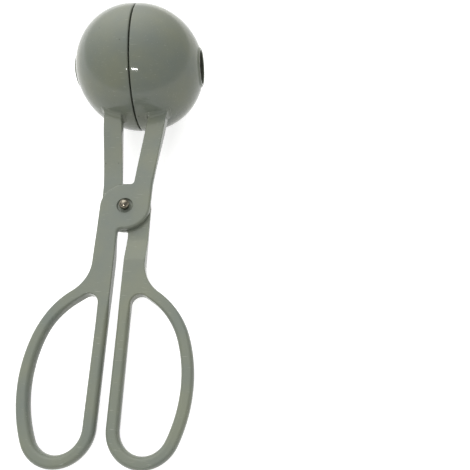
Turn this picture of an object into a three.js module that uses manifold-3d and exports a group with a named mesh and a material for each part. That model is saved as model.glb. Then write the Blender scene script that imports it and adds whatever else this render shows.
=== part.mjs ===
// Scissor tongs that shape a ball of soft food between two hollow cups.
// Two equal moulded arms cross at a half lap and turn on one rivet.
// Lengths are in millimetres and angles in degrees.
// The tongs are drawn flat, with the rivet's axis at the origin, +Y to the cups and +Z to the front.
// At the end they are laid down so that the cups and the finger loops rest on z = 0.

import * as THREE from 'three';
import { mergeVertices } from 'three/addons/utils/BufferGeometryUtils.js';
import Module from 'manifold-3d';

// Bars of both arms
const bar_thick = 4.6;          // front face to back face
const crown_inset = 1.05;       // how far a face's edge lies inside the widest outline
const crown_depth = 2.05;       // how far the rounding runs down from each face

// Cups
const ball_radius = 25.8;       // outside of a cup
const cup_wall = 2.4;
const ball_centre_y = 65.8;     // from the rivet to the middle of the cups
const rim_land = 0.65;          // straight wall between the rim and the half sphere
const rim_gap = 0.5;            // between the two rims when the tongs are closed

// Hole at the pole of each cup, with a low collar round it
const hole_radius = 6.8;
const collar_width = 1.1;
const collar_rise = 0.55;       // above the sphere at the hole's edge
const collar_round = 0.35;
const hole_lip = 0.5;           // straight part of the hole below the collar's top
const hole_flare = 1.6;         // how much wider the hole is at the cup's inside
const hole_lean = 4;            // of the hole's axis, towards the lap side of the arm

// Shank between the lap and the cup
const shank_centre_x = 4.96;    // its middle line at the rivet's level
const shank_width = 7.7;        // measured across the tongs
const shank_lean = 5.66;        // away from the long axis
const shank_sink = 2;           // how deep the shank ends in the cup's solid
const crotch_round = 1.2;       // corner between the shank and the lap's disc
const root_round = 1;           // fillet between the shank's faces and the cup

// Lap
const lap_radius = 9.55;        // disc round the rivet, and half the width of the block
const lap_gap = 0.3;            // between the two laps
const lap_flat = 12.75;         // the thin part reaches this far from the rivet
const neck_ramp = 8.2;          // along the arm, from the thin part to the full thickness of the neck
const shank_ramp = 24;          // the same on the shank

// Finger loop
const loop_bar = 4.35;          // width of the bar round the loop
const slot_gap = 2.95;          // between the inner bars of the two loops
const slot_round = 1;           // corner between a loop's inner bar and the lap's disc
const end_radius = 11.9;        // round end of the loop
const sweep_radius = 48;        // long outer curve
const widest_x = 28.35;         // where the long curve stands farthest out
const widest_y = 61.8;          // that point's distance below the rivet
const shoulder_radius = 28.5;   // tighter curve above the long one
const shoulder_start = 17.25;   // degrees round the long curve, above the widest point
const shoulder_lean = 54.9;     // slope of the shoulder from the long axis
const neck_straight = 0.5;      // between the shoulder's curve and the hollow curve that leads to the neck
const hole_end_radius = 7.5;    // inside of the loop's round end
const hole_top_round = 2.9;     // top corner of the finger hole

// Rivet
const rivet_radius = 1;
const rivet_clear = 0.3;        // round the rivet, and under its head and tail
const recess_radius = 2.92;
const recess_depth = 0.9;
const head_radius = 1.9;
const head_waist = 1.45;        // radius of the head's foot
const head_edge = 0.5;          // straight side of the foot, and of the tail
const head_swell = 1.6;         // from under the head up to its widest level
const head_dome = 1.6;          // from there to the top
const tail_rise = 0.6;          // tapered end of the tail
const tail_dimple_radius = 0.8;
const tail_dimple_depth = 0.5;

// One overrun for every cut
const overrun = 1;

// Steps of the round shapes
const ball_steps = 36;
const ball_rings = 9;
const hole_steps = 24;
const curve_steps = 6;
const crown_steps = 2;

const rad = (degrees) => degrees * Math.PI / 180;
const face_z = bar_thick / 2;
const shank_slope = Math.tan(rad(shank_lean));
const ball_offset = rim_gap / 2 + rim_land;
const wasm = await Module();
wasm.setup();

// A closed geometry as a solid that can be joined and cut.
function solid(geometry) {
  const bare = geometry.index ? geometry.toNonIndexed() : geometry.clone();
  bare.deleteAttribute('normal');
  bare.deleteAttribute('uv');
  const merged = mergeVertices(bare, bar_thick * 1e-6);
  const vertProperties = new Float32Array(merged.attributes.position.array);
  const triVerts = new Uint32Array(merged.index.array);
  return new wasm.Manifold(new wasm.Mesh({ numProp: 3, vertProperties, triVerts }));
}

// A solid as a geometry with flat faces.
function geometryOf(piece) {
  const mesh = piece.getMesh();
  const indexed = new THREE.BufferGeometry();
  const positions = new Float32Array(mesh.vertProperties);
  indexed.setAttribute('position', new THREE.BufferAttribute(positions, mesh.numProp));
  indexed.setIndex(new THREE.BufferAttribute(new Uint32Array(mesh.triVerts), 1));
  const flat = indexed.toNonIndexed();
  flat.computeVertexNormals();
  return flat;
}

// A profile of [radius, height] turned round the Y axis, with its ends on the axis.
function turned(profile, steps) {
  return new THREE.LatheGeometry(profile.map(([r, y]) => new THREE.Vector2(r, y)), steps);
}

// Points on an arc of a profile, both ends included.
function arcPoints(x, y, radius, from, to, steps) {
  return Array.from({ length: steps + 1 }, (_, i) => {
    const angle = rad(from + (to - from) * i / steps);
    return [x + radius * Math.cos(angle), y + radius * Math.sin(angle)];
  });
}

// The left shank's inner and outer edges: x at a given y.
const shankInner = (y) => -(shank_centre_x - shank_width / 2 + shank_slope * y);
const shankOuter = (y) => -(shank_centre_x + shank_width / 2 + shank_slope * y);

// The finger hole: straight inner side, round end, long curve, shoulder and top corner.
function fingerHole() {
  const hole = new THREE.Path();
  const sweep_x = widest_x - sweep_radius;
  const inner_x = slot_gap / 2 + loop_bar;
  const sweep_in = sweep_radius - loop_bar;
  const end_x = inner_x + hole_end_radius;
  const reach = sweep_in - hole_end_radius;
  const end_y = -widest_y - Math.sqrt(reach ** 2 - (end_x - sweep_x) ** 2);
  const meet = Math.atan2(end_y + widest_y, end_x - sweep_x);
  const start = rad(shoulder_start);
  const lean = rad(shoulder_lean);
  const apart = sweep_radius - shoulder_radius;
  const shoulder_x = sweep_x + apart * Math.cos(start);
  const shoulder_y = -widest_y + apart * Math.sin(start);
  const shoulder_in = shoulder_radius - loop_bar;
  const line_x = shoulder_x + shoulder_in * Math.cos(lean);
  const line_y = shoulder_y + shoulder_in * Math.sin(lean);
  const corner_y = line_y + (line_x - inner_x) / Math.tan(lean);
  const corner_back = hole_top_round * Math.tan((Math.PI - lean) / 2);
  hole.moveTo(inner_x, end_y);
  hole.absarc(end_x, end_y, hole_end_radius, Math.PI, 2 * Math.PI + meet, false);
  hole.absarc(sweep_x, -widest_y, sweep_in, meet, start, false);
  hole.absarc(shoulder_x, shoulder_y, shoulder_in, start, lean, false);
  hole.absarc(inner_x + hole_top_round, corner_y - corner_back, hole_top_round, lean, Math.PI, false);
  hole.closePath();
  return hole;
}

// The outline of an arm at its widest level: shank at the left, disc and block, neck and loop at the right.
function armOutline() {
  const outline = new THREE.Shape();
  const lean = rad(shank_lean);
  // Corner between the disc and the shank's inner edge
  const off_edge = crotch_round + shankInner(0) * Math.cos(lean);
  const along = Math.sqrt((lap_radius + crotch_round) ** 2 - off_edge ** 2);
  const crotch_x = off_edge * Math.cos(lean) - along * Math.sin(lean);
  const crotch_y = off_edge * Math.sin(lean) + along * Math.cos(lean);
  const crotch_angle = Math.atan2(crotch_y, crotch_x);
  outline.absarc(0, 0, lap_radius, 0, crotch_angle, false);
  outline.absarc(crotch_x, crotch_y, crotch_round, crotch_angle - Math.PI, lean - Math.PI, true);
  // The shank, up into the cup's wall
  const inner_top = wallLevel(shankInner(ball_centre_y - ball_radius));
  const outer_top = wallLevel(shankOuter(ball_centre_y - ball_radius));
  outline.lineTo(shankInner(inner_top), inner_top);
  outline.lineTo(shankOuter(outer_top), outer_top);
  outline.lineTo(shankOuter(lap_radius), lap_radius);
  outline.lineTo(-lap_radius, 0);
  // The disc's lower edge, then the slot beside the other loop
  const slot_x = slot_gap / 2;
  const end_x = slot_x + end_radius;
  const sweep_x = widest_x - sweep_radius;
  const reach = sweep_radius - end_radius;
  const end_y = -widest_y - Math.sqrt(reach ** 2 - (end_x - sweep_x) ** 2);
  const meet = Math.atan2(end_y + widest_y, end_x - sweep_x);
  const round_x = slot_x - slot_round;
  const round_y = -Math.sqrt((lap_radius + slot_round) ** 2 - round_x ** 2);
  const round_angle = Math.atan2(round_y, round_x);
  outline.absarc(0, 0, lap_radius, Math.PI, 2 * Math.PI + round_angle, false);
  outline.absarc(round_x, round_y, slot_round, round_angle + Math.PI, 0, true);
  outline.lineTo(slot_x, end_y);
  outline.absarc(end_x, end_y, end_radius, Math.PI, 2 * Math.PI + meet, false);
  outline.absarc(sweep_x, -widest_y, sweep_radius, meet, rad(shoulder_start), false);
  // Shoulder, hollow curve and neck
  const start = rad(shoulder_start);
  const slope = rad(shoulder_lean);
  const apart = sweep_radius - shoulder_radius;
  const shoulder_x = sweep_x + apart * Math.cos(start);
  const shoulder_y = -widest_y + apart * Math.sin(start);
  outline.absarc(shoulder_x, shoulder_y, shoulder_radius, start, slope, false);
  const line_x = shoulder_x + shoulder_radius * Math.cos(slope);
  const line_y = shoulder_y + shoulder_radius * Math.sin(slope);
  const corner_y = line_y + (line_x - lap_radius) / Math.tan(slope);
  // The hollow curve takes up what the short straight leaves
  const hollow_run = (line_x - lap_radius) / Math.sin(slope) - neck_straight;
  const hollow_round = hollow_run / Math.tan(slope / 2);
  const hollow_x = lap_radius + hollow_round;
  outline.absarc(hollow_x, corner_y + hollow_run, hollow_round, Math.PI + slope, Math.PI, true);
  outline.closePath();
  outline.holes.push(fingerHole());
  return outline;
}

// The level at which the shank's edge has gone a set depth into the cup's solid ball.
function wallLevel(x) {
  const across = Math.abs(x) - ball_offset;
  return ball_centre_y - Math.sqrt((ball_radius - shank_sink) ** 2 - across ** 2);
}

// The flat bar work of an arm, crowned towards both faces.
function barSolid() {
  const geometry = new THREE.ExtrudeGeometry(armOutline(), {
    depth: bar_thick - 2 * crown_depth,
    bevelThickness: crown_depth,
    bevelSize: crown_inset,
    bevelOffset: -crown_inset,
    bevelSegments: crown_steps,
    curveSegments: curve_steps,
  });
  geometry.translate(0, 0, crown_depth - face_z);
  return solid(geometry);
}

// A shape of the cup's own frame, moved to the left cup: its height runs out to the pole.
function atCup(geometry) {
  geometry.rotateZ(Math.PI / 2);
  geometry.translate(-ball_offset, ball_centre_y, 0);
  return geometry;
}

// The outside of the cup: half a sphere with a short straight land.
function cupOutside() {
  const profile = [
    [0, -rim_land],
    [ball_radius, -rim_land],
    ...arcPoints(0, 0, ball_radius, 0, 90, ball_rings),
  ];
  profile[profile.length - 1][0] = 0;
  return solid(atCup(turned(profile, ball_steps)));
}

// The hollow of the cup, run out past the rim.
function cupInside() {
  const inside_radius = ball_radius - cup_wall;
  const profile = [
    [0, -rim_land - overrun],
    [inside_radius, -rim_land - overrun],
    ...arcPoints(0, 0, inside_radius, 0, 90, ball_rings),
  ];
  profile[profile.length - 1][0] = 0;
  return solid(atCup(turned(profile, ball_steps)));
}

// The collar round the pole hole as a plug, and the hole that is cut through it.
function poleShape(kind) {
  const edge_level = Math.sqrt(ball_radius ** 2 - hole_radius ** 2);
  const collar_radius = hole_radius + collar_width;
  const collar_top = edge_level + collar_rise;
  const inside = ball_radius - cup_wall;
  const cut_top = collar_top + overrun;
  const flare_radius = hole_radius + hole_flare;
  const flare_level = Math.sqrt(inside ** 2 - flare_radius ** 2);
  const profile = kind === 'hole'
    ? [
      [0, inside / 2],
      [flare_radius, inside / 2],
      [flare_radius, flare_level],
      [hole_radius, collar_top - hole_lip],
      [hole_radius, cut_top],
      [0, cut_top],
    ]
    : [
      [0, inside],
      [collar_radius, inside],
      ...arcPoints(collar_radius - collar_round, collar_top - collar_round, collar_round, 0, 90, crown_steps),
      [0, collar_top],
    ];
  const geometry = turned(profile, hole_steps);
  geometry.rotateX(-rad(hole_lean));
  return solid(atCup(geometry));
}

// The fillet between the shank's faces and the cup, turned about the ball's upright axis.
function rootRing() {
  const outer = ball_radius + root_round;
  const start = Math.sqrt(outer ** 2 - (face_z + root_round) ** 2);
  const touch = Math.atan2(face_z + root_round, start) * 180 / Math.PI;
  const mid = face_z + root_round;
  const inside = ball_radius - cup_wall / 2;
  const profile = [
    [0, 0],
    [start, 0],
    ...arcPoints(start, mid, root_round, 270, 180 + touch, curve_steps),
    [inside * Math.cos(rad(touch)), inside * Math.sin(rad(touch))],
    [0, inside * Math.sin(rad(touch))],
  ];
  const upper = turned(profile, ball_steps * 2);
  upper.rotateX(Math.PI / 2);
  upper.translate(-ball_offset, ball_centre_y, 0);
  const half = solid(upper);
  return half.add(solid(upper.clone().rotateX(Math.PI).translate(0, 2 * ball_centre_y, 0)));
}

// The strip over the shank that the fillet keeps to.
function rootStrip() {
  const low = lap_flat;
  const high = ball_centre_y - ball_radius / 2;
  const strip = new THREE.Shape();
  strip.moveTo(shankInner(low) - crown_inset, low);
  strip.lineTo(shankInner(high) - crown_inset, high);
  strip.lineTo(shankOuter(high) + crown_inset, high);
  strip.lineTo(shankOuter(low) + crown_inset, low);
  strip.closePath();
  const height = ball_radius * 2;
  const geometry = new THREE.ExtrudeGeometry(strip, { depth: height, bevelEnabled: false });
  geometry.translate(0, 0, -height / 2);
  return solid(geometry);
}

// What the lap takes away: everything in front of the middle, with a short ramp to the neck and a long one
// to the shank.
function lapCut() {
  const level = -lap_gap / 2;
  const rise = face_z - level;
  const top = face_z + overrun;
  const over = (top - level) / rise;
  const side = new THREE.Shape();
  side.moveTo(-lap_flat, level);
  side.lineTo(lap_flat, level);
  side.lineTo(lap_flat + shank_ramp * over, top);
  side.lineTo(-lap_flat - neck_ramp * over, top);
  side.closePath();
  const width = 4 * lap_radius;
  const geometry = new THREE.ExtrudeGeometry(side, { depth: width, bevelEnabled: false });
  geometry.translate(0, 0, -width / 2);
  // The profile's first axis becomes Y and its second Z
  geometry.rotateY(Math.PI / 2);
  geometry.rotateX(Math.PI / 2);
  return solid(geometry);
}

// The rivet's bore and the recess in the back face.
function pivotCut() {
  const bore = rivet_radius + rivet_clear;
  const floor = -face_z + recess_depth;
  const profile = [
    [0, -face_z - overrun],
    [recess_radius, -face_z - overrun],
    [recess_radius, floor],
    [bore, floor],
    [bore, overrun],
    [0, overrun],
  ];
  const geometry = turned(profile, hole_steps);
  geometry.rotateX(Math.PI / 2);
  return solid(geometry);
}

// The back arm: its shank and cup lie at the left, its loop at the right.
function backArm() {
  const root = rootRing().intersect(rootStrip());
  return barSolid()
    .subtract(lapCut())
    .add(cupOutside())
    .add(root)
    .add(poleShape('collar'))
    .subtract(cupInside())
    .subtract(poleShape('hole'))
    .subtract(pivotCut());
}

// The rivet: a domed head in the front recess, and a closed tail with a dimple in the back one.
function rivetSolid() {
  const seat = face_z - recess_depth + rivet_clear;
  const dome_radius = (head_radius ** 2 + head_dome ** 2) / (2 * head_dome);
  const dome_low = Math.asin(head_radius / dome_radius) * 180 / Math.PI;
  const dome = (centre) => arcPoints(0, centre, dome_radius, 90 - dome_low, 90, curve_steps);
  const head = dome(seat + head_swell + head_dome - dome_radius);
  head[head.length - 1][0] = 0;
  const tail_end = -(seat + head_edge + tail_rise);
  const profile = [
    [0, tail_end + tail_dimple_depth],
    [tail_dimple_radius, tail_end],
    [(tail_dimple_radius + head_radius) / 2, tail_end],
    [head_radius, -(seat + head_edge)],
    [head_radius, -seat],
    [rivet_radius, -seat],
    [rivet_radius, seat],
    [head_waist, seat],
    [head_waist, seat + head_edge],
    ...head,
  ];
  const geometry = turned(profile, hole_steps);
  geometry.rotateX(Math.PI / 2);
  return solid(geometry);
}

// A named mesh with its own material.
function piece(name, geometry, look) {
  const mesh = new THREE.Mesh(geometry, new THREE.MeshStandardMaterial(look));
  mesh.name = name;
  return mesh;
}

const plastic = { color: 0x878d82, roughness: 0.3, metalness: 0 };
const steel = { color: 0x8f877b, roughness: 0.4, metalness: 1 };

const arm = geometryOf(backArm());
const tongs = new THREE.Group();
tongs.add(piece('back_arm', arm, plastic));
tongs.add(piece('front_arm', arm.clone().rotateY(Math.PI), plastic));
tongs.add(piece('pivot_rivet', geometryOf(rivetSolid()), steel));

// Laid down, the ball touches z = 0 and so does the lower face's edge at the loops' ends.
const end_x = slot_gap / 2 + end_radius;
const sweep_span = (sweep_radius - end_radius) ** 2 - (end_x - widest_x + sweep_radius) ** 2;
const loop_end_y = widest_y + Math.sqrt(sweep_span) + end_radius - crown_inset;
const contact_y = ball_centre_y + loop_end_y;
const tilt = Math.asin(ball_radius / Math.hypot(contact_y, face_z)) - Math.atan2(face_z, contact_y);
const lift = loop_end_y * Math.sin(tilt) + face_z * Math.cos(tilt);
tongs.rotation.x = tilt;
tongs.position.z = lift;

const top_y = (ball_centre_y * Math.cos(tilt)) + ball_radius;
const crown_y = (loop_end_y + crown_inset) * Math.cos(tilt) + (face_z - crown_depth) * Math.sin(tilt);
tongs.position.y = (crown_y - top_y) / 2;

const model = new THREE.Group();
model.add(tongs);

export default model;
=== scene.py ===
"""Looks of scissor tongs that shape a ball of food: two glossy moulded plastic arms and a metal rivet.

Sizes are in millimetres in the tongs' own frame: the rivet's axis is at the origin, +Y runs to the
cups and +Z to the front. Both arms are one shape. It is drawn as the back arm, with its shank and
cup at the left and its loop at the right, and turned half round about Y for the front arm.
"""

import math

import bpy
import numpy as np
from mathutils import Matrix, Vector
from mathutils.geometry import delaunay_2d_cdt


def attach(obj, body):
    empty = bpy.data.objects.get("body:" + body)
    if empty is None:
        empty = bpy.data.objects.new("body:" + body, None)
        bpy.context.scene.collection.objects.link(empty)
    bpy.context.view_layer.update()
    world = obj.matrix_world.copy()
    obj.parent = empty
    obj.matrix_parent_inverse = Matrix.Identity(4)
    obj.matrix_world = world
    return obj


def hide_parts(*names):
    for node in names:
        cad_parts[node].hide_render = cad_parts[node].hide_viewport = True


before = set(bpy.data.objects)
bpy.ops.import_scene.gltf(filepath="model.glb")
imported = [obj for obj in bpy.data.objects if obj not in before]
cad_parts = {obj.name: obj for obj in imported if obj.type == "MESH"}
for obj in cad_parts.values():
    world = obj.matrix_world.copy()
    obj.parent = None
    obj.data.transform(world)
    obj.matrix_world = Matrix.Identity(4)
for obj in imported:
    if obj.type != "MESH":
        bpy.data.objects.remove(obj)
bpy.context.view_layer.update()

# Lay of the tongs on the floor: their slope and the place of the rivet's middle
TILT = math.radians(8.843956)
PIVOT = np.array([0.0, -1.774706, 15.683649])

# Bars: the inset of their wall, then the width and the depth of its edges. DEEPEST_INSET is the most that
# these come to together with the flat rim of a face.
HALF_THICK = 2.3
BAR_WALL, BAR_EDGE, BAR_DEPTH = 0.29, 0.4, 0.4
DISC_EDGE, DISC_DEPTH = 0.9, 0.75
LOOP_WALL, LOOP_EDGE, LOOP_DEPTH = 0.06, 1.4, 2.0
LOOP_FROM = 33.0
LOOP_RUN = 12.0
CUT_EDGE = 0.2
DEEPEST_INSET = 1.7

# Fineness of the bars: steps along an outline, points round an edge, and the grid that fills flat faces,
# with its step, its clearance from an outline and how far it reaches
STEP = 0.45
FINEST_TURN = 3.0
NEAR_END = 0.001
BACK_EDGE_POINTS = 10
FRONT_EDGE_POINTS = 17
FACE_RIM = 0.25
FACE_STEP = 0.8
FACE_CLEAR = 0.3
FACE_SIDE = 14.0
FACE_FROM, FACE_TO = -23.2, 40.7
SAME_PLACE = 1e-5
TINY = 1e-6

# Lap
LAP_RADIUS = 9.55
LAP_LEVEL = -0.15
LAP_FLAT = 12.75
NECK_RAMP = 8.2
SHANK_RAMP = 27.0
CREASE_ROUND = 0.6
CREASES = [
    *(-LAP_FLAT - NECK_RAMP + CREASE_ROUND * n for n in (-1, 0, 1)),
    *(-LAP_FLAT + CREASE_ROUND * n for n in (-1, 0, 1)),
    LAP_FLAT,
    LAP_FLAT + SHANK_RAMP,
]

# Cups, with their rim's flat land and their pole's hole and collar
BALL_RADIUS = 25.79
CUP_WALL = 2.4
BALL_Y = 65.8
RIM_LAND = 0.65
BALL_OFFSET = 0.9
RIM_ROUND = 0.52
HOLE_RADIUS = 6.8
COLLAR_WIDTH = 1.1
COLLAR_RISE = 0.3
COLLAR_ROUND = 0.5
COLLAR_FOOT = 0.4
FOOT_RISE = 0.15
HOLE_LIP = 0.5
LIP_BREAK = 0.1
HOLE_FLARE = 1.6
FLARE_SHARES = np.array([0.04, 0.1, 0.5, 0.9, 0.97, 1.0])
THROAT_ROUND = 0.2
THROAT_RISE = 0.05
HOLE_LEAN = math.radians(4)
CUP_AROUND = 224
OUTER_ROWS, INNER_ROWS = 84, 56
CUP_EDGE_POINTS = 7

# Shank, and the soft corner at its root in the cup
SHANK_X = 4.96
SHANK_WIDTH = 7.7
SHANK_LEAN = math.radians(5.66)
SHANK_SINK = 2.0
CROTCH_ROUND = 1.2
ROOT_BLEND = 1.5
ROOT_IN_BALL, ROOT_IN_BAR = 0.6, 0.5
ROOT_SIDE_POINTS, ROOT_FACE_POINTS, ROOT_ROWS = 41, 38, 11

# Finger loop
LOOP_BAR = 4.35
SLOT_GAP = 2.95
SLOT_ROUND = 1.0
END_RADIUS = 11.9
SWEEP_RADIUS = 48.0
WIDEST_X = 28.35
WIDEST_Y = 61.8
SHOULDER_RADIUS = 28.5
SHOULDER_START = math.radians(17.25)
SHOULDER_LEAN = math.radians(54.9)
NECK_ROUND = 12.7
HOLE_END_RADIUS = 7.5
HOLE_TOP_ROUND = 2.9

# Rivet, and the recess that it lies in
RIVET_RADIUS = 1.0
RIVET_CLEAR = 0.3
RECESS_RADIUS = 2.92
RECESS_DEPTH = 0.9
RECESS_EDGE = 0.18
RECESS_RIM = 0.5
RECESS_AROUND, RECESS_EDGE_POINTS = 72, 5
HEAD_RADIUS = 1.9
HEAD_WAIST = 1.45
HEAD_EDGE = 0.5
HEAD_SWELL = 1.6
HEAD_DOME = 1.6
FOOT_ROUND = 0.12
TAIL_RISE = 0.6
TAIL_TAPER = 0.9
TAIL_FULL, TAIL_STEEP = 0.8, 0.9
DIMPLE_RADIUS, DIMPLE_DEPTH = 0.7, 0.4
RIVET_AROUND, RIVET_EDGE_POINTS, DOME_POINTS = 96, 9, 24

# Light: the floor's own glow, the room, its walls near the floor, its window and one strip lamp
PAPER_GLOW = 0.78
ROOM_LIGHT = 0.28
WALL_LIGHT, WALL_FALL = 0.55, 9.0
WINDOW_WAY, WINDOW_LIGHT, WINDOW_FALL = (-0.24, 0.58, 0.78), 2.05, 3.5
STRIP_PLACE, STRIP_AIM = (-0.109, -0.72, 0.679), (0, 0.06, 0.03)
STRIP_WIDTH, STRIP_HEIGHT, STRIP_POWER = 0.22, 0.03, 1.9
FLOOR_REACH = 3

# Camera, placed in the tongs' frame and laid down with them
RIGHT = np.array([0.99991, 0.01228, 0.00508])
DOWN = np.array([0.01329, -0.91984, -0.39206])
AHEAD = np.array([-0.00014, 0.39209, -0.91993])
EYE = np.array([40.87, -79.62, 162.42])
SENSOR = 36
FOCAL_PIXELS = 483.97
IMAGE_PIXELS = 470


# Outlines


def line(start, end):
    """A straight stretch, with points where it crosses the ramps' creases: start plus a share of the way."""
    start, end = np.array(start, float), np.array(end, float)
    way = end - start
    length = np.hypot(*way)
    shares = np.arange(0, 1, 1 / math.ceil(length / STEP))
    crossing = (np.array(CREASES) - start[1]) / way[1] if abs(way[1]) > TINY else np.array([-1.0])
    crossing = crossing[(crossing > NEAR_END) & (crossing < 1 - NEAR_END)]
    apart = np.abs(shares[:, None] - crossing).min(1, initial=1) * length > STEP / 4
    shares = np.sort(np.concatenate([shares[apart | (shares == 0)], crossing]))
    out = np.array([way[1], -way[0]]) / length
    return start + shares[:, None] * way, np.tile(out, (len(shares), 1)), out


def arc(x, y, radius, start, end):
    """A round stretch about x, y: centre plus the radius in each direction from start to end."""
    span = abs(end - start)
    count = max(math.ceil(span * radius / STEP), math.ceil(math.degrees(span) / FINEST_TURN))
    angle = start + (end - start) * np.arange(count + 1) / count
    way = np.stack([np.cos(angle), np.sin(angle)], 1)
    out = way * (1 if end > start else -1)
    return np.array([x, y]) + radius * way[:-1], out[:-1], out[-1]


def joined(*parts):
    """Stretches of one closed outline as points and directions out of the solid.

    Where two stretches meet at an angle, the corner's direction is mitred and the points that an inset
    would push past it are left out.
    """
    points, out = [], []
    for n, (place, way, end_way) in enumerate(parts):
        before, after = parts[n - 1][2], parts[(n + 1) % len(parts)]
        turns = [before @ way[0], end_way @ after[1][0]]
        reach = [DEEPEST_INSET * math.sqrt(max(1 - turn, 0) / (1 + turn)) for turn in turns]
        gap = [np.hypot(*(place - corner).T) for corner in (place[0], after[0][0])]
        keep = (gap[0] >= reach[0]) & (gap[1] >= reach[1])
        keep[0] = True
        mitre = way.copy()
        mitre[0] = (before + way[0]) / (1 + turns[0])
        points.append(place[keep])
        out.append(mitre[keep])
    return np.concatenate(points), np.concatenate(out)


def shank_edge(side, y):
    """Left shank's inner edge for side -1 and its outer edge for side 1: a line at the shank's lean."""
    return -(SHANK_X + side * SHANK_WIDTH / 2 + math.tan(SHANK_LEAN) * y)


def wall_level(side):
    """Level at which a shank edge has gone its set depth into the cup's wall."""
    across = abs(shank_edge(side, BALL_Y - BALL_RADIUS)) - BALL_OFFSET
    return BALL_Y - math.sqrt((BALL_RADIUS - SHANK_SINK) ** 2 - across**2)


def loop_values(inner_x, end_radius, bar):
    """Centres of a loop outline's tangent arcs: the outside for bar 0, the hole for the bar's width."""
    sweep_x = WIDEST_X - SWEEP_RADIUS
    end_x = inner_x + end_radius
    reach = SWEEP_RADIUS - bar - end_radius
    end_y = -WIDEST_Y - math.sqrt(reach**2 - (end_x - sweep_x) ** 2)
    meet = math.atan2(end_y + WIDEST_Y, end_x - sweep_x)
    apart = SWEEP_RADIUS - SHOULDER_RADIUS
    shoulder = (sweep_x + apart * math.cos(SHOULDER_START), -WIDEST_Y + apart * math.sin(SHOULDER_START))
    radius = SHOULDER_RADIUS - bar
    last = (shoulder[0] + radius * math.cos(SHOULDER_LEAN), shoulder[1] + radius * math.sin(SHOULDER_LEAN))
    return sweep_x, end_x, end_y, meet, shoulder, radius, last


def finger_hole():
    """The finger hole's outline, walked clockwise: round end, long curve, shoulder and round top corner."""
    inner_x = SLOT_GAP / 2 + LOOP_BAR
    sweep_x, end_x, end_y, meet, shoulder, radius, last = loop_values(inner_x, HOLE_END_RADIUS, LOOP_BAR)
    corner_y = last[1] + (last[0] - inner_x) / math.tan(SHOULDER_LEAN)
    top_y = corner_y - HOLE_TOP_ROUND * math.tan((math.pi - SHOULDER_LEAN) / 2)
    top_x = inner_x + HOLE_TOP_ROUND
    corner = (
        top_x + HOLE_TOP_ROUND * math.cos(SHOULDER_LEAN),
        top_y + HOLE_TOP_ROUND * math.sin(SHOULDER_LEAN),
    )
    return joined(
        arc(top_x, top_y, HOLE_TOP_ROUND, math.pi, SHOULDER_LEAN),
        line(corner, last),
        arc(*shoulder, radius, SHOULDER_LEAN, SHOULDER_START),
        arc(sweep_x, -WIDEST_Y, SWEEP_RADIUS - LOOP_BAR, SHOULDER_START, meet),
        arc(end_x, end_y, HOLE_END_RADIUS, meet, -math.pi),
        line((inner_x, end_y), (inner_x, top_y)),
    )


def arm_outline():
    """The arm's widest outline, walked anticlockwise from the disc's right side."""
    off = CROTCH_ROUND + shank_edge(-1, 0) * math.cos(SHANK_LEAN)
    along = math.sqrt((LAP_RADIUS + CROTCH_ROUND) ** 2 - off**2)
    crotch = (
        off * math.cos(SHANK_LEAN) - along * math.sin(SHANK_LEAN),
        off * math.sin(SHANK_LEAN) + along * math.cos(SHANK_LEAN),
    )
    turn = math.atan2(crotch[1], crotch[0])
    low = (
        crotch[0] - CROTCH_ROUND * math.cos(SHANK_LEAN),
        crotch[1] - CROTCH_ROUND * math.sin(SHANK_LEAN),
    )
    tops = [(shank_edge(side, wall_level(side)), wall_level(side)) for side in (-1, 1)]
    slot_x = SLOT_GAP / 2
    round_x = slot_x - SLOT_ROUND
    round_y = -math.sqrt((LAP_RADIUS + SLOT_ROUND) ** 2 - round_x**2)
    slot_turn = math.atan2(round_y, round_x)
    sweep_x, end_x, end_y, meet, shoulder, radius, last = loop_values(slot_x, END_RADIUS, 0)
    corner_y = last[1] + (last[0] - LAP_RADIUS) / math.tan(SHOULDER_LEAN)
    hollow_x = LAP_RADIUS + NECK_ROUND
    hollow_y = corner_y + NECK_ROUND * math.tan(SHOULDER_LEAN / 2)
    hollow = (
        hollow_x - NECK_ROUND * math.cos(SHOULDER_LEAN),
        hollow_y - NECK_ROUND * math.sin(SHOULDER_LEAN),
    )
    return joined(
        arc(0, 0, LAP_RADIUS, 0, turn),
        arc(*crotch, CROTCH_ROUND, turn - math.pi, SHANK_LEAN - math.pi),
        line(low, tops[0]),
        line(tops[0], tops[1]),
        line(tops[1], (shank_edge(1, LAP_RADIUS), LAP_RADIUS)),
        line((shank_edge(1, LAP_RADIUS), LAP_RADIUS), (-LAP_RADIUS, 0)),
        arc(0, 0, LAP_RADIUS, math.pi, 2 * math.pi + slot_turn),
        arc(round_x, round_y, SLOT_ROUND, slot_turn + math.pi, 0),
        line((slot_x, round_y), (slot_x, end_y)),
        arc(end_x, end_y, END_RADIUS, math.pi, 2 * math.pi + meet),
        arc(sweep_x, -WIDEST_Y, SWEEP_RADIUS, meet, SHOULDER_START),
        arc(*shoulder, radius, SHOULDER_START, SHOULDER_LEAN),
        line(last, hollow),
        arc(hollow_x, hollow_y, NECK_ROUND, math.pi + SHOULDER_LEAN, math.pi),
        line((LAP_RADIUS, hollow_y), (LAP_RADIUS, 0)),
    )


# Surfaces


def eased(share, soft):
    """A straight rise from 0 to 1 whose two creases are rounded by parabolas of a given half length."""

    def bend(t):
        return np.clip(t + soft, 0, 2 * soft) ** 2 / (4 * soft) + np.maximum(t - soft, 0)

    return bend(share) - bend(share - 1)


def smooth(share):
    """A share between 0 and 1 turned into a long S: three times its square less twice its cube."""
    share = np.clip(share, 0, 1)
    return share**2 * (3 - 2 * share)


def quarter_turn(count):
    """Angles from 0 to 90 degrees in equal steps."""
    return np.radians(np.linspace(0, 90, count))


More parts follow.
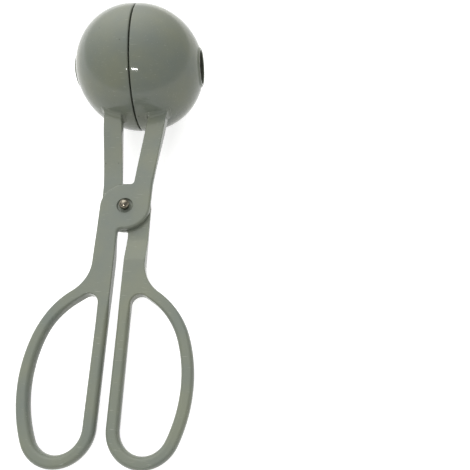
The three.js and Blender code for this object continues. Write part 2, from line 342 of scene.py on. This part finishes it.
def front_level(y):
    """Height of the front face.

    It is the lap's level near the rivet, and rises by an eased ramp on the neck and a long S on the shank.
    """
    neck = eased((-y - LAP_FLAT) / NECK_RAMP, CREASE_ROUND / NECK_RAMP)
    return LAP_LEVEL + (HALF_THICK - LAP_LEVEL) * np.maximum(neck, smooth((y - LAP_FLAT) / SHANK_RAMP))


def section(y):
    """A bar's section at a given y: its wall's inset, its edges' width and their depth.

    Shank and neck have upright walls and crisp edges, which soften towards the disc, and the loop's bars
    are rounded.
    """
    share = smooth((-y - LOOP_FROM) / LOOP_RUN)
    near = np.clip(2 - np.abs(y) / LAP_RADIUS, 0, 1)
    edge = BAR_EDGE + (DISC_EDGE - BAR_EDGE) * near
    depth = BAR_DEPTH + (DISC_DEPTH - BAR_DEPTH) * near
    pairs = ((BAR_WALL, LOOP_WALL), (edge, LOOP_EDGE), (depth, LOOP_DEPTH))
    return [bar + (loop - bar) * share for bar, loop in pairs]


def side_inset(z, wall, edge, depth):
    """How far the side lies inside the widest outline: a wall, then a quarter ellipse towards each face."""
    near = np.clip((np.abs(z) - HALF_THICK + depth) / depth, 0, 1)
    return wall + edge * (1 - np.sqrt(1 - near**2))


def side_band(points, out):
    """A bar's side: its section carried along an outline, from the back face round to the front face.

    Where the lap cuts the front lower, the profile stops there in a small rounded edge.
    """
    lower = np.cos(quarter_turn(BACK_EDGE_POINTS))
    upper = np.sin(quarter_turn(FRONT_EDGE_POINTS))[1:]
    wall, edge, depth = (value[:, None] for value in section(points[:, 1]))
    cut = front_level(points[:, 1, None])
    broken = CUT_EDGE * np.clip((HALF_THICK - cut) / depth, 0, 1)
    cut = front_level(points[:, 1, None] - out[:, 1, None] * (side_inset(cut, wall, edge, depth) + broken))
    z = np.concatenate(
        [-HALF_THICK + depth * (1 - lower), depth - HALF_THICK + (cut + HALF_THICK - depth) * upper], 1
    )
    near = np.clip((z - cut) / np.maximum(broken, TINY) + 1, 0, 1)
    inset = side_inset(z, wall, edge, depth) + broken * (1 - np.sqrt(1 - near**2))
    inset = np.concatenate([inset[:, :1] + FACE_RIM, inset, inset[:, -1:] + FACE_RIM], 1)
    z = np.concatenate([z[:, :1], z, z[:, -1:]], 1)
    place = points[:, None, :] - out[:, None, :] * inset[..., None]
    z[:, -1] = front_level(place[:, -1, 1])
    return np.concatenate([place, z[..., None]], 2)


def turned(profile, angle):
    """A profile of radius and height turned about the rivet's axis: one row of points for each angle."""
    radius, height = profile.T
    across = radius[None, :, None] * np.stack([np.cos(angle), np.sin(angle)], 1)[:, None, :]
    return np.concatenate([across, np.broadcast_to(height[None, :, None], across.shape[:2] + (1,))], 2)


def pivot_band():
    """The recess and the rivet's bore: a profile with small round edges, turned clockwise about the axis."""
    bore = RIVET_RADIUS + RIVET_CLEAR
    floor = -HALF_THICK + RECESS_DEPTH
    quarter = quarter_turn(RECESS_EDGE_POINTS)
    rise, run = RECESS_EDGE * (1 - np.sin(quarter)), RECESS_EDGE * (1 - np.cos(quarter))
    profile = np.concatenate(
        [
            [[RECESS_RADIUS + RECESS_RIM, -HALF_THICK]],
            np.stack([RECESS_RADIUS + rise, -HALF_THICK + run], 1),
            np.stack([RECESS_RADIUS - run, floor - rise], 1),
            np.stack([bore + rise, floor + run], 1),
            np.stack([bore + run, LAP_LEVEL - rise], 1),
            [[bore + RECESS_RIM, LAP_LEVEL]],
        ]
    )
    return turned(profile, -np.linspace(0, 2 * math.pi, RECESS_AROUND, endpoint=False))


def grid_faces(rows, columns, first=0, closed=False, flip=False):
    """Four-sided faces of a grid whose last row joins the first, as its last column does where closed."""
    i, k = np.meshgrid(np.arange(rows), np.arange(columns if closed else columns - 1), indexing="ij")
    next_i, next_k = (i + 1) % rows, (k + 1) % columns
    corners = [i * columns + k, next_i * columns + k, next_i * columns + next_k, i * columns + next_k]
    if flip:
        corners.reverse()
    return (np.stack(corners, -1).reshape(-1, 4) + first).tolist()


def inside(points, loops):
    """Whether points lie in the solid: an odd number of loop edges cross the ray to the right of each."""
    a = np.concatenate(loops)
    b = np.concatenate([np.roll(loop, -1, 0) for loop in loops])
    x, y = points[:, 0, None], points[:, 1, None]
    spans = (a[:, 1] > y) != (b[:, 1] > y)
    rise = np.where(a[:, 1] == b[:, 1], 1, b[:, 1] - a[:, 1])
    return (spans & (x < a[:, 0] + (y - a[:, 1]) * (b[:, 0] - a[:, 0]) / rise)).sum(1) % 2 == 1


def face_fill(loops, indices, spare, first, back):
    """A flat or ramped face between loops: their points and the spare ones joined in triangles."""
    edges = []
    start = 0
    for loop in loops:
        ring = np.arange(len(loop)) + start
        edges += np.stack([ring, np.roll(ring, -1)], 1).tolist()
        start += len(loop)
    flat = np.concatenate([*loops, spare])
    _, _, faces, *_ = delaunay_2d_cdt([Vector(p) for p in flat], edges, [], 1, SAME_PLACE)
    tris = np.array([f for f in faces if len(f) == 3])
    tris = tris[inside(flat[tris].mean(1), loops)]
    p, q, r = (flat[tris[:, n]] for n in range(3))
    left = (q[:, 0] - p[:, 0]) * (r[:, 1] - p[:, 1]) - (q[:, 1] - p[:, 1]) * (r[:, 0] - p[:, 0]) > 0
    tris = np.where((left == back)[:, None], tris[:, ::-1], tris)
    names = np.concatenate([*indices, np.arange(len(spare)) + first])
    return names[tris].tolist()


def bar_work():
    """The arm's flat work: three bands, a front face with the lap and its ramps, and a plain back face."""
    bands = [side_band(*arm_outline()), side_band(*finger_hole()), pivot_band()]
    points, faces, front, back = [], [], [], []
    first = 0
    for band in bands:
        rows, columns = band.shape[:2]
        points.append(band.reshape(-1, 3))
        faces += grid_faces(rows, columns, first)
        back.append(first + np.arange(rows) * columns)
        front.append(first + np.arange(rows) * columns + columns - 1)
        first += rows * columns
    across = np.arange(-FACE_SIDE, FACE_SIDE, FACE_STEP)
    x, y = np.meshgrid(across, np.union1d(np.arange(FACE_FROM, FACE_TO, FACE_STEP), CREASES))
    for indices, column, is_back in ((front, -1, False), (back, 0, True)):
        loops = [band[:, column, :2] for band in bands]
        spare = np.stack([x.ravel(), y.ravel()], 1)
        spare = spare[inside(spare, loops)]
        gap = np.sqrt(((spare[:, None] - np.concatenate(loops)) ** 2).sum(2)).min(1)
        spare = spare[gap > FACE_CLEAR]
        height = np.full(len(spare), -HALF_THICK) if is_back else front_level(spare[:, 1])
        faces += face_fill(loops, indices, spare, first, is_back)
        points.append(np.column_stack([spare, height]))
        first += len(spare)
    return np.concatenate(points), faces


def great_arc(start, end, radius, count):
    """Points on a sphere between two rings of directions: each pair's great circle, cut in equal shares."""
    angle = np.arccos(np.clip((start * end).sum(1), -1, 1))[:, None, None]
    share = np.linspace(0, 1, count)[None, :, None]
    mix = np.sin((1 - share) * angle) * start[:, None] + np.sin(share * angle) * end[:, None]
    return radius * mix / np.sin(angle)


def cup():
    """The cup's shell as one closed grid.

    Its section runs from the collar's foot over the outer sphere to the rim, back over the inner sphere
    to the hole, out through the flared hole and over the collar. The rim turns about the cup's axis and
    the collar about the hole's leaning axis, with great circles between the two.
    """
    angle = np.linspace(0, 2 * math.pi, CUP_AROUND, endpoint=False)[:, None]
    pole = np.array([-1.0, 0.0, 0.0])
    lean = np.array([-math.cos(HOLE_LEAN), 0.0, -math.sin(HOLE_LEAN)])
    rim_ring = np.cos(angle) * [0, 1, 0] + np.sin(angle) * [0, 0, -1]
    hole_ring = np.cos(angle) * [0, 1, 0] + np.sin(angle) * [math.sin(HOLE_LEAN), 0, -math.cos(HOLE_LEAN)]

    def about(radius, height, axis, ring):
        return radius[None, :, None] * ring[:, None] + height[None, :, None] * axis

    inner = BALL_RADIUS - CUP_WALL
    quarter = quarter_turn(CUP_EDGE_POINTS)
    rise, run = 1 - np.sin(quarter), 1 - np.cos(quarter)
    rim_radius = np.concatenate([BALL_RADIUS - RIM_ROUND * run, inner + RIM_ROUND * rise])
    rim_height = RIM_ROUND * np.concatenate([rise, run]) - RIM_LAND
    collar = HOLE_RADIUS + COLLAR_WIDTH
    top = math.sqrt(BALL_RADIUS**2 - HOLE_RADIUS**2) + COLLAR_RISE
    foot = collar + COLLAR_FOOT
    foot_level = math.sqrt(BALL_RADIUS**2 - foot**2)
    throat = HOLE_RADIUS + HOLE_FLARE + THROAT_ROUND
    throat_level = math.sqrt(inner**2 - throat**2)
    lip_radius = np.concatenate(
        [
            throat - THROAT_ROUND - HOLE_FLARE * FLARE_SHARES,
            [HOLE_RADIUS],
            HOLE_RADIUS + COLLAR_ROUND * run,
            collar - COLLAR_ROUND * rise,
            foot - COLLAR_FOOT * np.cos(quarter),
        ]
    )
    lip_height = np.concatenate(
        [
            throat_level + THROAT_RISE + (top - HOLE_LIP - throat_level) * FLARE_SHARES,
            [top - HOLE_LIP + LIP_BREAK],
            top - COLLAR_ROUND * rise,
            top - COLLAR_ROUND * run,
            foot_level + COLLAR_FOOT * (FOOT_RISE + rise),
        ]
    )
    foot_ring = (foot * hole_ring + foot_level * lean) / BALL_RADIUS
    throat_ring = (throat * hole_ring + throat_level * lean) / inner
    grid = np.concatenate(
        [
            great_arc(foot_ring, rim_ring, BALL_RADIUS, OUTER_ROWS),
            about(rim_radius, rim_height, pole, rim_ring),
            great_arc(rim_ring, throat_ring, inner, INNER_ROWS),
            about(lip_radius, lip_height, lean, hole_ring),
        ],
        1,
    )
    points = grid.reshape(-1, 3) + [-BALL_OFFSET, BALL_Y, 0]
    return points, grid_faces(CUP_AROUND, grid.shape[1], closed=True, flip=True)


def shank_root():
    """The soft corner between the shank and the cup, as a closed grid round the shank's section.

    Each column bends from the shank's surface to the sphere: a parabola whose middle control point is the
    sharp corner where the two would meet. Its way back runs inside the solid.
    """
    cos, sin = math.cos(SHANK_LEAN), math.sin(SHANK_LEAN)
    z = HALF_THICK * np.sin(np.radians(np.linspace(-90, 90, ROOT_SIDE_POINTS)))
    side = np.stack([SHANK_WIDTH / 2 * cos - side_inset(z, BAR_WALL, BAR_EDGE, BAR_DEPTH), z], 1)
    face = np.linspace(side[-1, 0], -side[-1, 0], ROOT_FACE_POINTS + 2)[1:-1]
    front = np.column_stack([face, np.full(ROOT_FACE_POINTS, HALF_THICK)])
    girth = np.concatenate([side, front, -side, -front])
    way = np.roll(girth, -1, 0) - np.roll(girth, 1, 0)
    out = np.stack([way[:, 1], -way[:, 0]], 1) / np.hypot(*way.T)[:, None]
    along = np.array([-sin, cos, 0.0])
    across = np.array([[-cos, -sin, 0.0], [0.0, 0.0, 1.0]])
    out = out @ across
    centre = np.array([-BALL_OFFSET, BALL_Y, 0.0])
    start = girth @ across + [-SHANK_X, 0, 0] - centre
    level = start @ along
    corner = start + (-level - np.sqrt(level**2 - (start**2).sum(1) + BALL_RADIUS**2))[:, None] * along
    normal = corner / BALL_RADIUS
    slope = out - (out * normal).sum(1, keepdims=True) * normal
    top = corner + ROOT_BLEND * slope / np.linalg.norm(slope, axis=1, keepdims=True)
    top *= BALL_RADIUS / np.linalg.norm(top, axis=1, keepdims=True)
    low = corner - ROOT_BLEND * along
    t = np.linspace(0, 1, ROOT_ROWS)[:, None]
    bend = (1 - t) ** 2 * low[:, None] + 2 * t * (1 - t) * corner[:, None] + t**2 * top[:, None]
    back = np.stack([top * (1 - ROOT_IN_BALL / BALL_RADIUS), low - ROOT_IN_BAR * out], 1)
    grid = np.concatenate([bend, back], 1) + centre
    return grid.reshape(-1, 3), grid_faces(len(grid), grid.shape[1], closed=True, flip=True)


def rivet():
    """The rivet: a profile of radius and height turned about its axis, with a point at each pole.

    From below it is a dimpled tail that tapers, the shank, and a head that swells from a narrow foot to a
    dome, a quarter of an ellipse.
    """
    seat = HALF_THICK - RECESS_DEPTH + RIVET_CLEAR
    widest = seat + HEAD_SWELL
    tail_end = -seat - HEAD_EDGE - TAIL_RISE
    quarter = quarter_turn(RIVET_EDGE_POINTS)
    rise, run = 1 - np.sin(quarter), 1 - np.cos(quarter)
    up = quarter[:-1]
    dome = quarter_turn(DOME_POINTS)[:-1]
    parts = [
        (DIMPLE_RADIUS * np.sin(quarter[1:]), tail_end + DIMPLE_DEPTH * np.cos(quarter[1:]) ** 2),
        (
            HEAD_RADIUS - TAIL_TAPER + TAIL_TAPER * np.sin(quarter) ** TAIL_FULL,
            tail_end + TAIL_RISE * run**TAIL_STEEP,
        ),
        ([HEAD_RADIUS, RIVET_RADIUS, RIVET_RADIUS], [-seat, -seat, seat]),
        (HEAD_WAIST - FOOT_ROUND * rise, seat + FOOT_ROUND * run),
        (
            HEAD_WAIST + (HEAD_RADIUS - HEAD_WAIST) * np.sin(up),
            widest - (HEAD_SWELL - HEAD_EDGE) * np.cos(up),
        ),
        (HEAD_RADIUS * np.cos(dome), widest + HEAD_DOME * np.sin(dome)),
    ]
    profile = np.concatenate([np.stack(part, 1) for part in parts])
    body = turned(profile, np.linspace(0, 2 * math.pi, RIVET_AROUND, endpoint=False))
    poles = [[0, 0, tail_end + DIMPLE_DEPTH], [0, 0, widest + HEAD_DOME]]
    points = np.concatenate([body.reshape(-1, 3), poles])
    columns = len(profile)
    low, high = len(points) - 2, len(points) - 1
    start = np.arange(RIVET_AROUND) * columns
    after = np.roll(start, -1)
    caps = [[low, b, a] for a, b in zip(start, after)]
    caps += [[high, a + columns - 1, b + columns - 1] for a, b in zip(start, after)]
    return points, grid_faces(RIVET_AROUND, columns) + np.array(caps).tolist()


def placed(points, front=False):
    """Points of the tongs' frame in metres on the floor: turned for the front arm, tilted and lifted."""
    x, y, z = (points * ([-1, 1, -1] if front else [1, 1, 1])).T
    cos, sin = math.cos(TILT), math.sin(TILT)
    return (np.stack([x, y * cos - z * sin, y * sin + z * cos], 1) + PIVOT) / 1000


def shown(name, data):
    """An object in the scene that holds a mesh, a lamp or a camera."""
    made = bpy.data.objects.new(name, data)
    bpy.context.scene.collection.objects.link(made)
    return made


def piece(name, points, faces, body, node, material):
    """One smooth mesh object that stands for a node and rides on its body."""
    mesh = bpy.data.meshes.new(name)
    mesh.from_pydata(points.tolist(), [], faces)
    mesh.polygons.foreach_set("use_smooth", np.ones(len(mesh.polygons), bool))
    mesh.update()
    mesh.materials.append(material)
    made = shown(name, mesh)
    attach(made, body)
    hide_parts(node)


# Finishes


def colour(text):
    """An sRGB hex colour as linear values."""
    parts = np.array([int(text[n : n + 2], 16) / 255 for n in (1, 3, 5)])
    linear = np.where(parts <= 0.04045, parts / 12.92, ((parts + 0.055) / 1.055) ** 2.4)
    return (*linear, 1.0)


def bare_material(name):
    """A new material and its empty node tree."""
    material = bpy.data.materials.new(name)
    material.use_nodes = True
    material.node_tree.nodes.clear()
    return material, material.node_tree


def add(tree, kind, inputs=None, **settings):
    """Adds one node with its settings, and gives its inputs values or other nodes' outputs."""
    made = tree.nodes.new(kind)
    for name, value in settings.items():
        setattr(made, name, value)
    for name, value in (inputs or {}).items():
        if isinstance(value, bpy.types.NodeSocket):
            tree.links.new(value, made.inputs[name])
        else:
            made.inputs[name].default_value = value
    return made


def set_ends(ramp, *ends):
    """Gives a colour ramp's two stops their positions and colours."""
    for stop, (position, shade) in zip(ramp.elements, ends):
        stop.position = position
        stop.color = colour(shade)


def moulded_plastic():
    """Glossy injection-moulded ABS in grey-green: cloudy tint, faint waves from the mould, scuffs, specks."""
    material, tree = bare_material("glossy moulded ABS, grey-green")
    place = add(tree, "ShaderNodeTexCoord").outputs["Object"]
    # Clouds of tint 14 mm across, as poorly mixed pigment leaves
    cloud = add(
        tree,
        "ShaderNodeTexNoise",
        {"Vector": place, "Scale": 1 / 0.014, "Detail": 3.0, "Roughness": 0.55},
    )
    tint = add(tree, "ShaderNodeValToRGB", {"Fac": cloud.outputs["Fac"]})
    set_ends(tint.color_ramp, (0.3, "#7d847b"), (0.72, "#878b79"))
    # Sparse dark specks about half a millimetre wide, burnt grains in the granulate
    grain = add(tree, "ShaderNodeTexVoronoi", {"Vector": place, "Scale": 1 / 0.007})
    speck = add(
        tree,
        "ShaderNodeMapRange",
        {
            "Value": grain.outputs["Distance"],
            "From Min": 0.035,
            "From Max": 0.06,
            "To Min": 0.45,
            "To Max": 0.0,
        },
    )
    # Pale scuffs a few millimetres long and thin, from a drawer
    lay = add(
        tree,
        "ShaderNodeMapping",
        {"Vector": place, "Rotation": (0.3, 0.2, 0.9), "Scale": (300, 2600, 2600)},
    )
    streak = add(tree, "ShaderNodeTexNoise", {"Vector": lay.outputs["Vector"], "Scale": 1.0, "Detail": 2.0})
    scuff = add(
        tree,
        "ShaderNodeMapRange",
        {
            "Value": streak.outputs["Fac"],
            "From Min": 0.66,
            "From Max": 0.74,
            "To Min": 0.0,
            "To Max": 0.45,
        },
    )
    # The scuffs and the specks laid over the tint, each by its own share
    tinted = tint.outputs["Color"]
    for share, shade in ((scuff, "#a9ac9f"), (speck, "#44473f")):
        mix = add(
            tree,
            "ShaderNodeMix",
            {0: share.outputs["Result"], 6: tinted, 7: colour(shade)},
            data_type="RGBA",
        )
        tinted = mix.outputs[2]
    # Rubbed patches 5 mm across that are a little duller
    rub = add(
        tree,
        "ShaderNodeTexNoise",
        {"Vector": place, "Scale": 1 / 0.005, "Detail": 4.0, "Roughness": 0.6},
    )
    dull = add(
        tree,
        "ShaderNodeMapRange",
        {
            "Value": rub.outputs["Fac"],
            "From Min": 0.35,
            "From Max": 0.7,
            "To Min": 0.07,
            "To Max": 0.13,
        },
    )
    # Mould waves 3 mm long, a few microns high
    wave = add(tree, "ShaderNodeTexNoise", {"Vector": place, "Scale": 1 / 0.003, "Detail": 2.0})
    bump = add(tree, "ShaderNodeBump", {"Height": wave.outputs["Fac"], "Strength": 0.03, "Distance": 0.0002})
    shader = add(
        tree,
        "ShaderNodeBsdfPrincipled",
        {
            "Base Color": tinted,
            "Roughness": dull.outputs["Result"],
            "IOR": 1.5,
            "Specular IOR Level": 0.28,
            "Normal": bump.outputs["Normal"],
        },
    )
    add(tree, "ShaderNodeOutputMaterial", {"Surface": shader.outputs["BSDF"]})
    return material


def rivet_metal():
    """Nickel-plated steel, upset cold: dull grey-brown with tarnish in patches."""
    material, tree = bare_material("nickel-plated steel, tarnished")
    place = add(tree, "ShaderNodeTexCoord").outputs["Object"]
    # Dark tarnish in patches 0.8 mm across, with paler metal between that is duller and a little proud
    patch = add(tree, "ShaderNodeTexNoise", {"Vector": place, "Scale": 1 / 0.0008, "Detail": 3.0})
    tint = add(tree, "ShaderNodeValToRGB", {"Fac": patch.outputs["Fac"]})
    set_ends(tint.color_ramp, (0.35, "#6c665a"), (0.65, "#a59e8e"))
    dull = add(tree, "ShaderNodeMapRange", {"Value": patch.outputs["Fac"], "To Min": 0.14, "To Max": 0.3})
    bump = add(tree, "ShaderNodeBump", {"Height": patch.outputs["Fac"], "Strength": 0.1, "Distance": 0.0001})
    shader = add(
        tree,
        "ShaderNodeBsdfPrincipled",
        {
            "Base Color": tint.outputs["Color"],
            "Metallic": 1.0,
            "Roughness": dull.outputs["Result"],
            "Normal": bump.outputs["Normal"],
        },
    )
    add(tree, "ShaderNodeOutputMaterial", {"Surface": shader.outputs["BSDF"]})
    return material


def white_paper():
    """Matt white paper that also shows white to the camera and in reflections, and keeps the shadow."""
    material, tree = bare_material("matt white paper")
    path = add(tree, "ShaderNodeLightPath")
    seen = path.outputs["Is Camera Ray"]
    for other in ("Is Glossy Ray", "Is Transmission Ray"):
        seen = add(tree, "ShaderNodeMath", {0: seen, 1: path.outputs[other]}, operation="MAXIMUM").outputs[0]
    glow = add(tree, "ShaderNodeMath", {0: seen, 1: PAPER_GLOW}, operation="MULTIPLY")
    shader = add(
        tree,
        "ShaderNodeBsdfPrincipled",
        {
            "Base Color": colour("#d6d6d4"),
            "Roughness": 0.9,
            "Emission Color": (1, 1, 1, 1),
            "Emission Strength": glow.outputs[0],
        },
    )
    add(tree, "ShaderNodeOutputMaterial", {"Surface": shader.outputs["BSDF"]})
    return material


# Pieces

plastic = moulded_plastic()
arm_parts = (bar_work(), cup(), shank_root())
arm = np.concatenate([points for points, _ in arm_parts])
arm_faces = []
first = 0
for points, faces in arm_parts:
    arm_faces += [[n + first for n in face] for face in faces]
    first += len(points)
pin, pin_faces = rivet()
piece("front_arm_moulding", placed(arm, front=True), arm_faces, "front_half", "front_arm", plastic)
piece("back_arm_moulding", placed(arm), arm_faces, "back_half", "back_arm", plastic)
piece("pivot_rivet_metal", placed(pin), pin_faces, "back_half", "pivot_rivet", rivet_metal())

# Floor

floor_mesh = bpy.data.meshes.new("floor")
corners = [(x * FLOOR_REACH, y * FLOOR_REACH, 0) for x, y in ((-1, -1), (1, -1), (1, 1), (-1, 1))]
floor_mesh.from_pydata(corners, [], [(0, 1, 2, 3)])
floor_mesh.materials.append(white_paper())
shown("floor", floor_mesh)

# A strip lamp far off in front, for small bright glints on the ball and the rivet

strip = bpy.data.lights.new("strip", "AREA")
strip.shape = "RECTANGLE"
strip.size, strip.size_y = STRIP_WIDTH, STRIP_HEIGHT
strip.energy = STRIP_POWER
lamp = shown("strip", strip)
lamp.location = STRIP_PLACE
lamp.rotation_euler = (Vector(STRIP_AIM) - Vector(STRIP_PLACE)).to_track_quat("-Z", "Y").to_euler()

# A pale room that grows lighter towards a large window behind the cups

world = bpy.data.worlds.new("studio")
bpy.context.scene.world = world
world.use_nodes = True
room = world.node_tree
way = add(room, "ShaderNodeTexCoord").outputs["Generated"]
facing = add(room, "ShaderNodeVectorMath", {0: way, 1: WINDOW_WAY}, operation="DOT_PRODUCT")
facing = add(room, "ShaderNodeMath", {0: facing.outputs["Value"], 1: 0.0}, operation="MAXIMUM")
window = add(room, "ShaderNodeMath", {0: facing.outputs[0], 1: WINDOW_FALL}, operation="POWER")
light = add(
    room,
    "ShaderNodeMath",
    {0: window.outputs[0], 1: WINDOW_LIGHT, 2: ROOM_LIGHT},
    operation="MULTIPLY_ADD",
)
# Its walls are lightest where they meet the floor
height = add(room, "ShaderNodeSeparateXYZ", {"Vector": way})
low = add(room, "ShaderNodeMath", {0: 1.0, 1: height.outputs["Z"]}, operation="SUBTRACT")
walls = add(room, "ShaderNodeMath", {0: low.outputs[0], 1: WALL_FALL}, operation="POWER")
light = add(
    room,
    "ShaderNodeMath",
    {0: walls.outputs[0], 1: WALL_LIGHT, 2: light.outputs[0]},
    operation="MULTIPLY_ADD",
)
room.nodes["Background"].inputs["Color"].default_value = (1, 1, 1, 1)
room.links.new(light.outputs[0], room.nodes["Background"].inputs["Strength"])

# Camera

axes = (placed(np.stack([RIGHT, -DOWN, -AHEAD])) - placed(np.zeros((1, 3)))) * 1000
lens = bpy.data.cameras.new("camera")
lens.sensor_width = SENSOR
lens.lens = SENSOR * FOCAL_PIXELS / IMAGE_PIXELS
lens.clip_start = 0.01
lens.clip_end = 20
camera = shown("camera", lens)
camera.matrix_world = Matrix.Translation(placed(EYE[None])[0]) @ Matrix(axes.T.tolist()).to_4x4()
bpy.context.scene.camera = camera
bpy.context.scene.view_settings.view_transform = "Standard"
